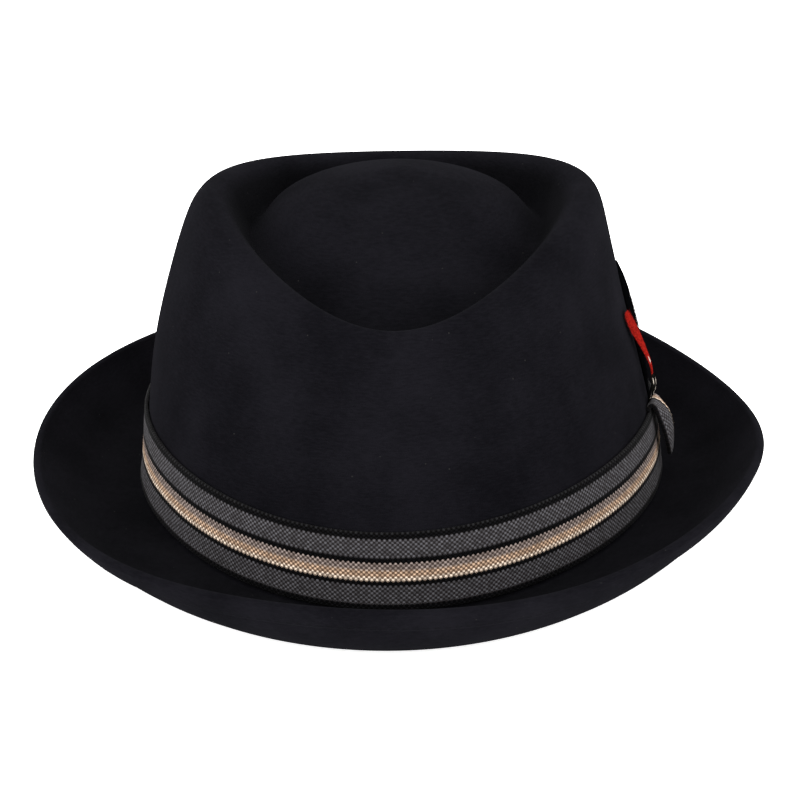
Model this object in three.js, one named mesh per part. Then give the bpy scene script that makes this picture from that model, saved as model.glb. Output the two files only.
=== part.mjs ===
// A felt trilby with a diamond crown, a curled brim, a wide striped ribbon band,
// a folded ribbon loop on the wearer's left, and three small feathers tucked behind the loop.
//
// Millimetres. +Z is up, the front of the hat points to -Y and the wearer's left is +X.
// The origin is on the resting plane, under the middle of the brim's outline.

import * as THREE from 'three';

// Brim
const brimLength = 285.3;
const brimWidth = 238.7;
const rimFrontHeight = 19.9;
const rimSideHeight = 25.4;
const rimBackHeight = 33.3;
const rimRoll = 0.8;
const rimTwist = 1.6;
const rimRipple = 1.6;
const rimRipples = 4;
const rimRippleTurn = -12.9;
const breakFrontHeight = 1.9;
const breakSideHeight = 12.1;
const breakBackHeight = 2.0;

// Crown
const footLength = 210;
const footWidth = 173.2;
const seatX = 0.4;
const seatY = 6.6;
const crestFrontHeight = 86.4;
const crestSideHeight = 109.7;
const crestBackHeight = 101.9;
const crestWidth = 124.1;
const crestFrontReach = 86.6;
const crestBackReach = 70.3;
const crestLean = -1.9;
const crestSetback = 6;
const crestTurn = 3.6;
const crestPinch = 0.15;
const crestRoll = 1;
const grooveFrontDepth = 7.5;
const grooveSideDepth = 16;
const grooveBackDepth = 11;
const domeHeight = 112.7;
const domeSetback = 14;
const domeLean = -1.5;

// Felt
const feltThickness = 2.2;
const weltWidth = 5;
const weltThickness = 3.0;
const rimBulge = 0.35;
const feltFacetsAround = 60;

// Ribbon and loop
const ribbonWidth = 25.3;
const ribbonThickness = 1.3;
const ribbonLift = 0.3;
const bandFacetsUp = 4;
const touchGap = 0.3;
const loopWidth = 26;
const loopCentre = -5.5;
const loopBulge = 2.1;
const loopFacetsLong = 14;
const loopFacetsAcross = 6;

// Feathers
const shaftThickness = 0.8;
const vaneEdgeThickness = 0.3;
const redFeatherLength = 34;
const redFeatherWidth = 8.5;
const blackFeatherLength = 46;
const blackFeatherWidth = 13;
const speckledFeatherLength = 12;
const speckledFeatherWidth = 6;
const featherFacetsLong = 10;

// The brim from its rim to the break at the crown's foot: out is the share of the way from the
// foot's oval to the rim's, lift the share of the rise from the break to the rim, and the front
// has its own two columns because it curls up more sharply there. Hand shaping leaves the rim a
// little uneven: it rolls up towards the wearer's left, twists and ripples, all in step with the lift.
const BRIM = [
  { name: 'rim', out: 1, frontOut: 1, lift: 1, frontLift: 1, facets: 1 },
  { name: 'lip', out: 0.949, frontOut: 0.989, lift: 0.76, frontLift: 0.8, facets: 1 },
  { name: 'curl', out: 0.76, frontOut: 0.907, lift: 0.43, frontLift: 0.35, facets: 2 },
  { name: 'turn', out: 0.61, frontOut: 0.684, lift: 0.13, frontLift: 0.05, facets: 1 },
  { name: 'flat', out: 0.303, frontOut: 0.304, lift: 0.004, frontLift: 0.02, facets: 2 },
  { name: 'foot', out: 0.06, frontOut: 0.05, lift: -0.02, frontLift: -0.025, facets: 2 },
  { name: 'break', out: 0.005, frontOut: 0.005, lift: 0, frontLift: 0, facets: 1 },
];

// The stretch of the wall behind the ribbon: up is a share of the ribbon's width above the break,
// inset the share of the way in from the foot's oval to the crest's.
const BANDED = [
  { name: 'heel', up: 0.1, inset: 0.015, frontInset: 0.03, form: 0, lean: 0, facets: 1 },
  { name: 'band', up: 0.5, inset: 0.055, frontInset: 0.09, form: 0, lean: 0, facets: 1 },
  { name: 'above band', up: 1.05, inset: 0.108, frontInset: 0.17, form: 0.05, lean: 0.4, facets: 1 },
];

// The wall above the ribbon: up is the share of the height from break to crest, and form is how
// far the section has gone over from the foot's plain oval to the crest's diamond.
const WALL = [
  { name: 'wall', up: 0.472, frontUp: 0.513, inset: 0.243, frontInset: 0.459, form: 0.3, lean: 1.4, facets: 1 },
  { name: 'high', up: 0.7, frontUp: 0.726, inset: 0.485, frontInset: 0.676, form: 0.65, lean: 1.8, facets: 1 },
  { name: 'shoulder', up: 0.905, frontUp: 0.903, inset: 0.69, frontInset: 0.82, form: 0.9, lean: 1.4, facets: 2 },
  { name: 'edge', up: 0.968, frontUp: 0.968, inset: 0.81, frontInset: 0.919, form: 1, lean: 1, facets: 2 },
];

// The top, from the crest into the groove: reach is a share of the crest's own reach from the
// centre, drop a share of the groove's depth.
const TOP = [
  { name: 'crest', reach: 1, frontReach: 1, drop: 0, facets: 2 },
  { name: 'inner edge', reach: 0.91, frontReach: 0.965, drop: 0.16, facets: 1 },
  { name: 'bank', reach: 0.855, frontReach: 0.919, drop: 0.58, facets: 2 },
  { name: 'groove', reach: 0.808, frontReach: 0.867, drop: 1, facets: 2 },
];

// The dome inside the groove: climb is the share of the height from the groove to the dome's top,
// setback the share of the way that the dome's middle stands back and leans.
const DOME = [
  { name: 'rise', reach: 0.735, frontReach: 0.78, climb: 0.05, setback: 0.25, facets: 2 },
  { name: 'flank', reach: 0.66, frontReach: 0.6, climb: 0.5, setback: 0.7, facets: 2 },
  { name: 'dome', reach: 0.35, frontReach: 0.33, climb: 0.86, setback: 1, facets: 2 },
  { name: 'top', reach: 0, frontReach: 0, climb: 1, setback: 1, facets: 1 },
];

// The loop's middle line, from its hidden end on the ribbon's top edge, over the fold and down
// the ribbon's face: up is the share of the ribbon's width, off the distance out from the felt in
// ribbon thicknesses, bow the share of the bulge that stands there, wide the share of its width
// and forward the share of its width that its middle stands forward.
const LOOP = [
  { name: 'hidden end', up: 1.02, off: 1.65, bow: 0, wide: 0.42, forward: 0.14 },
  { name: 'fold top', up: 1.045, off: 2.15, bow: 0.1, wide: 0.42, forward: 0.14 },
  { name: 'fold front', up: 1, off: 2.6, bow: 0.5, wide: 0.45, forward: 0.12 },
  { name: 'shoulder', up: 0.88, off: 3, bow: 1, wide: 0.52, forward: 0.08 },
  { name: 'middle', up: 0.72, off: 3.7, bow: 0.8, wide: 0.6, forward: 0.03 },
  { name: 'low', up: 0.56, off: 4.1, bow: 0.5, wide: 0.62, forward: 0 },
  { name: 'hem', up: 0.39, off: 4.3, bow: 0.1, wide: 0.55, forward: 0 },
];

// Each feather's middle line: at is the share of its length, along the place along the wall from
// the loop's middle as a share of the loop's width, off the distance out from the felt in ribbon
// thicknesses, wide the share of its width, and twist how far its blade turns away from the wall,
// in degrees.
const RED_FEATHER = [
  { at: 0, along: -0.06, off: 0.6, wide: 0.12, twist: 0 },
  { at: 0.06, along: -0.06, off: 0.65, wide: 0.12, twist: 0 },
  { at: 0.13, along: -0.05, off: 1.4, wide: 0.14, twist: 2 },
  { at: 0.24, along: -0.06, off: 2.4, wide: 0.2, twist: 6 },
  { at: 0.38, along: -0.1, off: 2.8, wide: 0.32, twist: 10 },
  { at: 0.56, along: -0.17, off: 2.3, wide: 0.52, twist: 12 },
  { at: 0.78, along: -0.27, off: 1.4, wide: 1, twist: 8 },
  { at: 0.93, along: -0.36, off: 1.0, wide: 0.75, twist: 6 },
  { at: 1, along: -0.4, off: 0.9, wide: 0.2, twist: 6 },
];
const BLACK_FEATHER = [
  { at: 0, along: 0.09, off: 0.6, wide: 0.1, twist: 0 },
  { at: 0.15, along: 0.11, off: 0.6, wide: 0.3, twist: 0 },
  { at: 0.35, along: 0.17, off: 0.6, wide: 0.75, twist: 0 },
  { at: 0.6, along: 0.23, off: 0.6, wide: 1, twist: 0 },
  { at: 0.82, along: 0.28, off: 0.6, wide: 0.85, twist: 0 },
  { at: 0.95, along: 0.32, off: 0.6, wide: 0.45, twist: 0 },
  { at: 1, along: 0.34, off: 0.6, wide: 0.12, twist: 0 },
];
const SPECKLED_FEATHER = [
  { at: 0, along: -0.2, off: 0.6, wide: 0.15, twist: 0 },
  { at: 0.15, along: -0.2, off: 0.65, wide: 0.2, twist: 0 },
  { at: 0.35, along: -0.24, off: 2, wide: 0.5, twist: 6 },
  { at: 0.6, along: -0.3, off: 3, wide: 1, twist: 10 },
  { at: 0.85, along: -0.34, off: 3.5, wide: 0.7, twist: 10 },
  { at: 1, along: -0.36, off: 3.6, wide: 0.2, twist: 10 },
];

const slopeStep = 0.004;
const rimStep = 0.1;
const halvings = 40;

const mix = (a, b, share) => a + (b - a) * share;
const radians = (degrees) => (degrees * Math.PI) / 180;

const foot = { width: footWidth / 2, front: footLength / 2, back: footLength / 2 };
const rim = { width: brimWidth / 2, front: brimLength / 2, back: brimLength / 2 };
const crest = { width: crestWidth / 2, front: crestFrontReach, back: crestBackReach };

function brimSection(row) {
  return {
    x: mix(seatX, 0, row.out),
    y: mix(seatY, 0, row.out),
    turn: 0,
    pinch: 0,
    roll: rimRoll * row.lift,
    uneven: row.lift,
    width: mix(foot.width, rim.width, row.out),
    front: mix(foot.front, rim.front, row.frontOut),
    back: mix(foot.back, rim.back, row.out),
    side: mix(breakSideHeight, rimSideHeight, row.lift),
    nose: mix(breakFrontHeight, rimFrontHeight, row.frontLift),
    tail: mix(breakBackHeight, rimBackHeight, row.lift),
  };
}

function wallSection(row, side, nose, tail) {
  return {
    x: seatX + crestLean * row.lean,
    y: seatY + crestSetback * row.form,
    turn: radians(crestTurn * row.form),
    pinch: crestPinch * row.form,
    roll: crestRoll * row.form,
    uneven: 0,
    width: mix(foot.width, crest.width, row.inset),
    front: mix(foot.front, crest.front, row.frontInset),
    back: mix(foot.back, crest.back, row.inset),
    side,
    nose,
    tail,
  };
}

function bandedSection(row) {
  const up = row.up * ribbonWidth;
  return wallSection(row, breakSideHeight + up, breakFrontHeight + up, breakBackHeight + up);
}

function upperSection(row) {
  return wallSection(
    row,
    mix(breakSideHeight, crestSideHeight, row.up),
    mix(breakFrontHeight, crestFrontHeight, row.frontUp),
    mix(breakBackHeight, crestBackHeight, row.up),
  );
}

function topSection(row, lean, setback, side, nose, tail) {
  return {
    x: seatX + crestLean + lean,
    y: seatY + setback,
    turn: radians(crestTurn),
    pinch: crestPinch,
    roll: crestRoll * row.reach,
    uneven: 0,
    width: crest.width * row.reach,
    front: crest.front * row.frontReach,
    back: crest.back * row.reach,
    side,
    nose,
    tail,
  };
}

function edgeSection(row) {
  return topSection(
    row,
    0,
    crestSetback,
    crestSideHeight - grooveSideDepth * row.drop,
    crestFrontHeight - grooveFrontDepth * row.drop,
    crestBackHeight - grooveBackDepth * row.drop,
  );
}

function domeSection(row) {
  return topSection(
    row,
    domeLean * row.setback,
    mix(crestSetback, domeSetback, row.setback),
    mix(crestSideHeight - grooveSideDepth, domeHeight, row.climb),
    mix(crestFrontHeight - grooveFrontDepth, domeHeight, row.climb),
    mix(crestBackHeight - grooveBackDepth, domeHeight, row.climb),
  );
}

const sections = [
  ...BRIM.map(brimSection),
  ...BANDED.map(bandedSection),
  ...WALL.map(upperSection),
  ...TOP.map(edgeSection),
  ...DOME.map(domeSection),
];
const facets = [...BRIM, ...BANDED, ...WALL, ...TOP, ...DOME].map((row) => row.facets);
const rowNumber = (name) => [...BRIM, ...BANDED, ...WALL, ...TOP, ...DOME].findIndex((row) => row.name === name);

// A point of one section at an angle round the hat: 0 is the wearer's left, a quarter turn the back.
function sectionPoint(section, angle) {
  const across = Math.cos(angle);
  const toBack = Math.max(Math.sin(angle), 0);
  const toFront = Math.max(-Math.sin(angle), 0);
  const x = section.width * across * (1 - section.pinch * toFront ** 2);
  const y = section.back * toBack - section.front * toFront;
  const cos = Math.cos(section.turn);
  const sin = Math.sin(section.turn);
  const ripple = rimRipple * Math.cos(rimRipples * (angle - radians(rimRippleTurn)));
  const height = section.side
    + (section.nose - section.side) * toFront ** 2
    + (section.tail - section.side) * toBack ** 2
    + section.roll * across
    + section.uneven * (ripple - rimTwist * Math.sin(2 * angle));
  return new THREE.Vector3(section.x + x * cos - y * sin, section.y + x * sin + y * cos, height);
}

// The felt's outer face: a cubic B-spline through the sections, from the rim, 0, to the dome's top.
function feltPoint(station, angle) {
  const last = sections.length - 1;
  const row = Math.min(Math.floor(station), last - 1);
  const t = station - row;
  const at = (i) => {
    if (i < 0) return sectionPoint(sections[0], angle).multiplyScalar(2).sub(sectionPoint(sections[1], angle));
    if (i > last) {
      return sectionPoint(sections[last], angle).multiplyScalar(2).sub(sectionPoint(sections[last - 1], angle));
    }
    return sectionPoint(sections[i], angle);
  };
  const point = at(row - 1).multiplyScalar((1 - t) ** 3);
  point.addScaledVector(at(row), 3 * t ** 3 - 6 * t ** 2 + 4);
  point.addScaledVector(at(row + 1), -3 * t ** 3 + 3 * t ** 2 + 3 * t + 1);
  point.addScaledVector(at(row + 2), t ** 3);
  return point.divideScalar(6);
}

function feltNormal(station, angle) {
  const last = sections.length - 1;
  if (station >= last) return new THREE.Vector3(0, 0, 1);
  const low = Math.max(station - slopeStep, 0);
  const high = Math.min(station + slopeStep, last - slopeStep);
  const up = feltPoint(high, angle).sub(feltPoint(low, angle));
  const round = feltPoint(station, angle + slopeStep).sub(feltPoint(station, angle - slopeStep));
  return round.cross(up).normalize();
}

// The station of the wall at a height above the break, found by halving. The wall's lower rows
// rise together all round, so one station has one height there.
function stationAtHeight(height) {
  let low = rowNumber('foot');
  let high = rowNumber('shoulder');
  const side = 0;
  for (let i = 0; i < halvings; i += 1) {
    const middle = (low + high) / 2;
    if (feltPoint(middle, side).z - breakSideHeight < height) low = middle;
    else high = middle;
  }
  return (low + high) / 2;
}

// A place on the wall by its height above the ribbon's lower edge, its distance along the wall
// from the wearer's left side, and its distance out from the felt.
function onWall(height, along, off) {
  const station = stationAtHeight(ribbonLift + height);
  const angle = Math.asin(along / foot.front);
  return feltPoint(station, angle).addScaledVector(feltNormal(station, angle), off);
}

// Turns a list of points and triangles into a geometry.
function geometryOf(points, triangles) {
  const geometry = new THREE.BufferGeometry();
  geometry.setAttribute('position', new THREE.Float32BufferAttribute(points.flatMap((p) => [p.x, p.y, p.z]), 3));
  geometry.setIndex(triangles.flat());
  geometry.computeVertexNormals();
  return geometry;
}

// Two triangles between two places on one ring and the same places on the next ring.
function quad(a, b, c, d) {
  return [[a, b, c], [a, c, d]];
}

// A felt shell: the outer face, the inner face one thickness behind it, and a rounded rim edge.
// Near the rim the felt is turned under and sewn down as a welt, so it is thicker there. The
// underside is pressed flat where the hat rests.
function feltBody() {
  const stations = [];
  for (let row = 0; row < sections.length - 1; row += 1) {
    for (let i = 0; i < facets[row]; i += 1) stations.push(row + i / facets[row]);
  }
  const around = feltFacetsAround;
  const angles = Array.from({ length: around }, (_, j) => (2 * Math.PI * j) / around);
  const thicknessAt = (station, angle) => {
    const inFromRim = feltPoint(station, angle).distanceTo(feltPoint(0, angle));
    const share = THREE.MathUtils.smoothstep(inFromRim, weltWidth, weltWidth + feltThickness);
    return mix(weltThickness, feltThickness, station < rowNumber('flat') ? share : 1);
  };
  const points = [];
  const outer = stations.map((station) => angles.map((angle) => points.push(feltPoint(station, angle)) - 1));
  const inner = stations.map((station) => angles.map((angle) => {
    const point = feltPoint(station, angle).addScaledVector(feltNormal(station, angle), -thicknessAt(station, angle));
    point.z = Math.max(point.z, 0);
    return points.push(point) - 1;
  }));
  const edge = angles.map((angle) => {
    const outward = feltPoint(0, angle).sub(feltPoint(rimStep, angle)).normalize();
    const point = feltPoint(0, angle).addScaledVector(feltNormal(0, angle), -weltThickness / 2);
    return points.push(point.addScaledVector(outward, weltThickness * rimBulge)) - 1;
  });
  const last = sections.length - 1;
  const outerTop = points.push(feltPoint(last, 0)) - 1;
  const innerTop = points.push(feltPoint(last, 0).add(new THREE.Vector3(0, 0, -feltThickness))) - 1;
  const triangles = [];
  for (let j = 0; j < around; j += 1) {
    const k = (j + 1) % around;
    for (let i = 0; i + 1 < stations.length; i += 1) {
      triangles.push(...quad(outer[i][j], outer[i][k], outer[i + 1][k], outer[i + 1][j]));
      triangles.push(...quad(inner[i][k], inner[i][j], inner[i + 1][j], inner[i + 1][k]));
    }
    triangles.push([outer.at(-1)[j], outer.at(-1)[k], outerTop]);
    triangles.push([inner.at(-1)[k], inner.at(-1)[j], innerTop]);
    triangles.push(...quad(edge[j], edge[k], outer[0][k], outer[0][j]));
    triangles.push(...quad(inner[0][j], inner[0][k], edge[k], edge[j]));
  }
  return geometryOf(points, triangles);
}

// The ribbon: a closed band that follows the wall at one gap and one thickness.
function hatBand() {
  const around = feltFacetsAround;
  const low = stationAtHeight(ribbonLift);
  const high = stationAtHeight(ribbonLift + ribbonWidth);
  const places = [];
  for (let i = 0; i <= bandFacetsUp; i += 1) places.push({ station: mix(low, high, i / bandFacetsUp), off: touchGap });
  for (let i = bandFacetsUp; i >= 0; i -= 1) {
    places.push({ station: mix(low, high, i / bandFacetsUp), off: touchGap + ribbonThickness });
  }
  const points = [];
  for (let j = 0; j < around; j += 1) {
    const angle = (2 * Math.PI * j) / around;
    for (const place of places) {
      const normal = feltNormal(place.station, angle);
      points.push(feltPoint(place.station, angle).addScaledVector(normal, place.off));
    }
  }
  const size = places.length;
  const triangles = [];
  for (let j = 0; j < around; j += 1) {
    const k = (j + 1) % around;
    for (let i = 0; i < size; i += 1) {
      const next = (i + 1) % size;
      triangles.push(...quad(j * size + i, j * size + next, k * size + next, k * size + i));
    }
  }
  return geometryOf(points, triangles);
}

// A closed skin over rings of equal size, with flat ends.
function skinOverRings(rings) {
  const points = rings.flat();
  const size = rings[0].length;
  const triangles = [];
  for (let i = 0; i + 1 < rings.length; i += 1) {
    for (let j = 0; j < size; j += 1) {
      const k = (j + 1) % size;
      triangles.push(...quad(i * size + j, i * size + k, (i + 1) * size + k, (i + 1) * size + j));
    }
  }
  const lastRing = (rings.length - 1) * size;
  for (let j = 1; j + 1 < size; j += 1) {
    triangles.push([0, j + 1, j]);
    triangles.push([lastRing, lastRing + j, lastRing + j + 1]);
  }
  return geometryOf(points, triangles);
}

// The loop: the same ribbon folded over the band's top edge and brought down its face, bowed out
// in the middle and close to the band along both sides.
function bandLoop() {
  const line = new THREE.CatmullRomCurve3(
    LOOP.map((row) => new THREE.Vector3(row.up * ribbonWidth, row.off * ribbonThickness, row.bow)),
    false,
    'centripetal',
  );
  const spread = new THREE.CatmullRomCurve3(
    LOOP.map((row) => new THREE.Vector3(row.up * ribbonWidth, row.forward * loopWidth, row.wide * loopWidth)),
    false,
    'centripetal',
  );
  const steps = loopFacetsLong;
  const across = loopFacetsAcross;
  const rings = [];
  for (let i = 0; i <= steps; i += 1) {
    const here = line.getPoint(i / steps);
    const shape = spread.getPoint(i / steps);
    const tangent = line.getTangent(i / steps);
    const side = new THREE.Vector2(tangent.y, -tangent.x).normalize().multiplyScalar(ribbonThickness / 2);
    const ring = [];
    const place = (share, sign) => {
      const along = loopCentre - shape.y + (share * shape.z) / 2;
      const off = here.y + here.z * loopBulge * (1 - share ** 2);
      return onWall(here.x + sign * side.x, along, off + sign * side.y);
    };
    for (let j = across; j >= 0; j -= 1) ring.push(place(mix(-1, 1, j / across), 1));
    for (let j = 0; j <= across; j += 1) ring.push(place(mix(-1, 1, j / across), -1));
    rings.push(ring);
  }
  return skinOverRings(rings);
}

// A feather: a thin blade about its shaft, bent along the wall, with a pointed tip.
function feather(rows, length, width) {
  const line = new THREE.CatmullRomCurve3(
    rows.map((row) => new THREE.Vector3(row.at * length, row.along * loopWidth, row.off * ribbonThickness)),
    false,
    'centripetal',
  );
  const form = new THREE.CatmullRomCurve3(
    rows.map((row) => new THREE.Vector3(row.at * length, row.wide * (width / 2), row.twist)),
    false,
    'centripetal',
  );
  const steps = featherFacetsLong;
  const root = ribbonWidth + touchGap;
  const rings = [];
  for (let i = 0; i <= steps; i += 1) {
    const here = line.getPoint(i / steps);
    const shape = form.getPoint(i / steps);
    const half = Math.max(shape.y, shaftThickness / 2);
    const twist = radians(shape.z);
    const place = (across, thick) => {
      const along = loopCentre + here.y + across * Math.cos(twist) - thick * Math.sin(twist);
      const off = here.z + across * Math.sin(twist) + thick * Math.cos(twist);
      return onWall(root + here.x, along, off);
    };
    const shaft = shaftThickness / 2;
    const thin = vaneEdgeThickness / 2;
    rings.push([
      place(-half, thin), place(0, shaft), place(half, thin),
      place(half, -thin), place(0, -shaft), place(-half, -thin),
    ]);
  }
  return skinOverRings(rings);
}

const blackFelt = new THREE.MeshStandardMaterial({ color: 0x141417, roughness: 0.95, metalness: 0 });
const stripedRibbon = new THREE.MeshStandardMaterial({ color: 0x56565a, roughness: 0.85, metalness: 0 });
const foldedRibbon = new THREE.MeshStandardMaterial({ color: 0x7a6f60, roughness: 0.85, metalness: 0 });
const redVane = new THREE.MeshStandardMaterial({ color: 0xb02a20, roughness: 0.7, metalness: 0 });
const blackVane = new THREE.MeshStandardMaterial({ color: 0x1b1a1c, roughness: 0.6, metalness: 0 });
const speckledVane = new THREE.MeshStandardMaterial({ color: 0x4a4846, roughness: 0.7, metalness: 0 });

function piece(name, geometry, material) {
  const mesh = new THREE.Mesh(geometry, material);
  mesh.name = name;
  return mesh;
}

const trilby = new THREE.Group();
trilby.add(piece('felt_body', feltBody(), blackFelt));
trilby.add(piece('hat_band', hatBand(), stripedRibbon));
trilby.add(piece('band_loop', bandLoop(), foldedRibbon));
trilby.add(piece('feather_red', feather(RED_FEATHER, redFeatherLength, redFeatherWidth), redVane));
trilby.add(piece('feather_black', feather(BLACK_FEATHER, blackFeatherLength, blackFeatherWidth), blackVane));
trilby.add(piece(
  'feather_speckled',
  feather(SPECKLED_FEATHER, speckledFeatherLength, speckledFeatherWidth),
  speckledVane,
));

export default trilby;
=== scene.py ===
# %% [markdown]
# # A felt trilby
#
# The hat is already built to size as six solids. Here each of them gets its real surface: brushed
# felt, woven ribbon and barbed feathers. The solids are the fixed frame, so nothing is moved or
# scaled, and every new piece is worked out from the same named sizes as the solids.

# %% Load the fixed frame
import math
import bpy
import numpy as np
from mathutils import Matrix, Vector


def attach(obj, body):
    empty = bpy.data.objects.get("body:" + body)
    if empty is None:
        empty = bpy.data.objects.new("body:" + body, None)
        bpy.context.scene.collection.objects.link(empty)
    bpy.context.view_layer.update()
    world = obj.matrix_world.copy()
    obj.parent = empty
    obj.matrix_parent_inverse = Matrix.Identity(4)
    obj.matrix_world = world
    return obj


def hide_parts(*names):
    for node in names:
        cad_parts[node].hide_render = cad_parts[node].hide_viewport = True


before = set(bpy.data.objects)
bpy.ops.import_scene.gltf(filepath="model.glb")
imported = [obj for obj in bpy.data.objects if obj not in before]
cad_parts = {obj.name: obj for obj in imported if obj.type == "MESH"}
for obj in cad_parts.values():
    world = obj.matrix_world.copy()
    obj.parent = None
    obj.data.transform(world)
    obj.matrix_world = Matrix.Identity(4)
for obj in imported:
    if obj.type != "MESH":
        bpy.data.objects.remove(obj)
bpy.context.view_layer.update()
print("The frame holds", ", ".join(sorted(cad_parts)))

# %% [markdown]
# ## The camera
#
# The camera comes first, because everything else is judged through it. It stands 1.2 m away and 21
# degrees above the floor. A long lens keeps the brim's front and back nearly the same size, as a
# studio photograph does. It aims a little above the hat's seat, which leaves the hat low enough in
# the frame without any lens shift.

# %% Camera
MM = 0.001
SEAT_X, SEAT_Y = 0.4, 6.6
DISTANCE, FOCAL_PIXELS, FRAME_PIXELS = 1200.0, 3521.0, 800.0
CAMERA_RISE, CAMERA_TURN = math.radians(21.0), math.radians(-4.0)
AIM_UP_PIXELS, AIM_ASIDE_PIXELS = 98.0, 1.9


def point_camera():
    level = math.cos(CAMERA_RISE)
    ahead = Vector((math.sin(CAMERA_TURN) * level, math.cos(CAMERA_TURN) * level, -math.sin(CAMERA_RISE)))
    aside = Vector((math.cos(CAMERA_TURN), -math.sin(CAMERA_TURN), 0))
    upward = aside.cross(ahead)
    seat = Vector((SEAT_X, SEAT_Y, -0.3))
    per_pixel = DISTANCE / FOCAL_PIXELS
    place = seat - ahead * DISTANCE
    aim = seat + upward * (AIM_UP_PIXELS * per_pixel) - aside * (AIM_ASIDE_PIXELS * per_pixel)
    lens = bpy.data.cameras.new("portrait_lens")
    lens.sensor_width = 36.0
    lens.lens = 36.0 * FOCAL_PIXELS / FRAME_PIXELS
    camera = bpy.data.objects.new("portrait_camera", lens)
    bpy.context.scene.collection.objects.link(camera)
    camera.location = place * MM
    camera.rotation_euler = (aim - place).to_track_quat("-Z", "Y").to_euler()
    bpy.context.scene.camera = camera
    return camera


camera = point_camera()
print("The camera stands at", [round(v, 3) for v in camera.location])

# %% [markdown]
# ## The felt's shape as a table of sections
#
# A hat is blocked from one piece of felt, so its crown and brim share one surface. It could be
# sculpted, but a table of oval sections from the rim to the top of the crown is exact and easy to
# change. Each section says how far it reaches to the sides, front and back, and how high it stands
# there. The table is the one the solids were made with, so the fine surface lies on them. Shaping
# by hand leaves the rim a little uneven, so it also rolls, twists and ripples by a millimetre or so.

# %% Sizes in millimetres
FOOT_WIDTH, FOOT_LENGTH = 173.2, 210.0
BRIM_WIDTH, BRIM_LENGTH = 238.7, 285.3
RIM_SIDE, RIM_FRONT, RIM_BACK = 25.4, 19.9, 33.3
RIM_ROLL, RIM_TWIST = 0.8, 1.6
RIPPLE, RIPPLES, RIPPLE_TURN = 1.6, 4, math.radians(-12.9)
BREAK_SIDE, BREAK_FRONT, BREAK_BACK = 12.1, 1.9, 2.0
CREST_SIDE, CREST_FRONT, CREST_BACK = 109.7, 86.4, 101.9
CREST_WIDTH, CREST_FRONT_REACH, CREST_BACK_REACH = 124.1, 86.6, 70.3
CREST_LEAN, CREST_SETBACK, CREST_TURN = -1.9, 6.0, math.radians(3.6)
CREST_PINCH, CREST_ROLL = 0.15, 1.0
GROOVE_SIDE, GROOVE_FRONT, GROOVE_BACK = 16.0, 7.5, 11.0
DOME_HEIGHT, DOME_SETBACK, DOME_LEAN = 112.7, 14.0, -1.5
FELT, WELT, WELT_WIDTH = 2.2, 3.0, 5.0
RIBBON_WIDTH, RIBBON_THICK, RIBBON_LIFT, GAP = 25.3, 1.3, 0.3, 0.3

# %% [markdown]
# The rows below give the shares between those sizes. The brim's rows go from its rim inwards to the
# break at the foot of the crown, then the wall climbs behind the ribbon and up to the crest, and
# the last rows drop into the groove and rise again over the dome.

# %% Section rows
BRIM_ROWS = [  # out, front_out, lift, front_lift
    (1.0, 1.0, 1.0, 1.0), (0.949, 0.989, 0.76, 0.8), (0.76, 0.907, 0.43, 0.35),
    (0.61, 0.684, 0.13, 0.05), (0.303, 0.304, 0.004, 0.02), (0.06, 0.05, -0.02, -0.025),
    (0.005, 0.005, 0.0, 0.0),
]
BANDED_ROWS = [  # up, inset, front_inset, form, lean
    (0.1, 0.015, 0.03, 0, 0), (0.5, 0.055, 0.09, 0, 0), (1.05, 0.108, 0.17, 0.05, 0.4),
]
WALL_ROWS = [  # up, front_up, inset, front_inset, form, lean
    (0.472, 0.513, 0.243, 0.459, 0.3, 1.4), (0.7, 0.726, 0.485, 0.676, 0.65, 1.8),
    (0.905, 0.903, 0.69, 0.82, 0.9, 1.4), (0.968, 0.968, 0.81, 0.919, 1.0, 1.0),
]
TOP_ROWS = [  # reach, front_reach, drop
    (1.0, 1.0, 0.0), (0.91, 0.965, 0.16), (0.855, 0.919, 0.58), (0.808, 0.867, 1.0),
]
DOME_ROWS = [  # reach, front_reach, climb, setback
    (0.735, 0.78, 0.05, 0.25), (0.66, 0.6, 0.5, 0.7), (0.35, 0.33, 0.86, 1.0), (0.0, 0.0, 1.0, 1.0),
]
COLUMNS = ("x", "y", "turn", "pinch", "roll", "uneven",
           "width", "front", "back", "side", "nose", "tail")


def mix(a, b, share):
    return a + (b - a) * share


def brim_section(out, front_out, lift, front_lift):
    return (mix(SEAT_X, 0, out), mix(SEAT_Y, 0, out), 0, 0, RIM_ROLL * lift, lift,
            mix(FOOT_WIDTH, BRIM_WIDTH, out) / 2, mix(FOOT_LENGTH, BRIM_LENGTH, front_out) / 2,
            mix(FOOT_LENGTH, BRIM_LENGTH, out) / 2, mix(BREAK_SIDE, RIM_SIDE, lift),
            mix(BREAK_FRONT, RIM_FRONT, front_lift), mix(BREAK_BACK, RIM_BACK, lift))


def wall_section(inset, front_inset, form, lean, side, nose, tail):
    return (SEAT_X + CREST_LEAN * lean, SEAT_Y + CREST_SETBACK * form, CREST_TURN * form,
            CREST_PINCH * form, CREST_ROLL * form, 0, mix(FOOT_WIDTH, CREST_WIDTH, inset) / 2,
            mix(FOOT_LENGTH / 2, CREST_FRONT_REACH, front_inset),
            mix(FOOT_LENGTH / 2, CREST_BACK_REACH, inset), side, nose, tail)


def top_section(reach, front_reach, lean, setback, side, nose, tail):
    return (SEAT_X + CREST_LEAN + lean, SEAT_Y + setback, CREST_TURN, CREST_PINCH,
            CREST_ROLL * reach, 0, CREST_WIDTH / 2 * reach, CREST_FRONT_REACH * front_reach,
            CREST_BACK_REACH * reach, side, nose, tail)


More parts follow.
